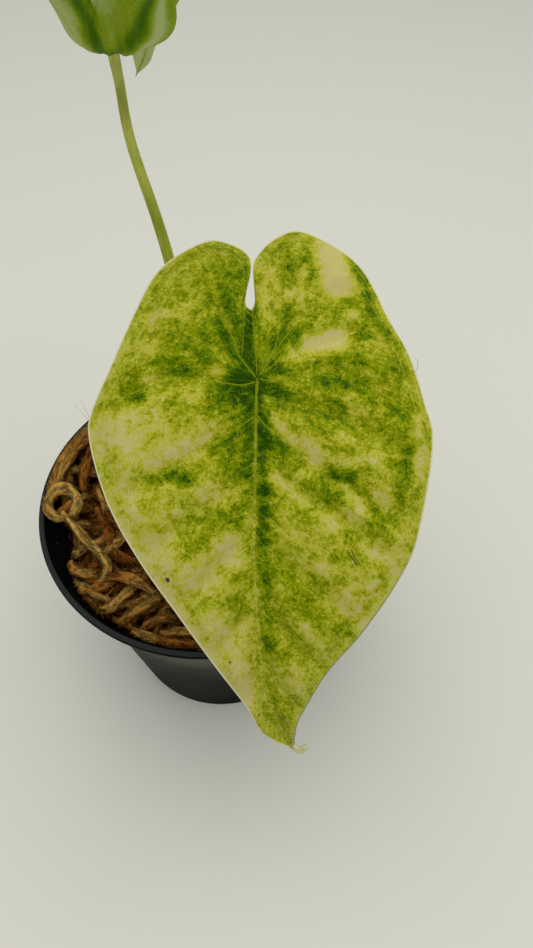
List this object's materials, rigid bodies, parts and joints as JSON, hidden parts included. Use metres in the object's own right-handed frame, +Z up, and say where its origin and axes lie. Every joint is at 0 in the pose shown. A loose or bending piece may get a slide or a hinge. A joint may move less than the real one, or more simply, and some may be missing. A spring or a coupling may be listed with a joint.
{
  "type": "potted variegated dragons breath alocasia",
  "caption": "Young potted aroid with heart-shaped marbled leaves on long stalks, rooted in sphagnum moss in a thin round tapered nursery pot with drainage holes.",
  "frame": {"origin": "centre of the flat underside of the pot, on the surface that the pot stands on", "axes": "+Z up along the pot's axis, -Y the way the front leaf's tip points, +X to the right seen from the front"},
  "size_m": [0.076, 0.1178, 0.1732],
  "materials": {
    "pot": "thin black moulded plastic, satin",
    "moss": "dried long-fibre moss, straw to rust brown",
    "crown": "papery old sheaths over a fleshy rootstock",
    "stalk": "smooth olive green skin, satin",
    "blade": "leathery leaf marbled in cream, yellow green and green, satin"
  },
  "bodies": {
    "root": {"pot": "pot", "moss_bed": "moss", "crown": "crown", "stalk_front": "stalk", "stalk_back": "stalk", "blade_front": "blade", "blade_back": "blade"}
  },
  "joints": []
}
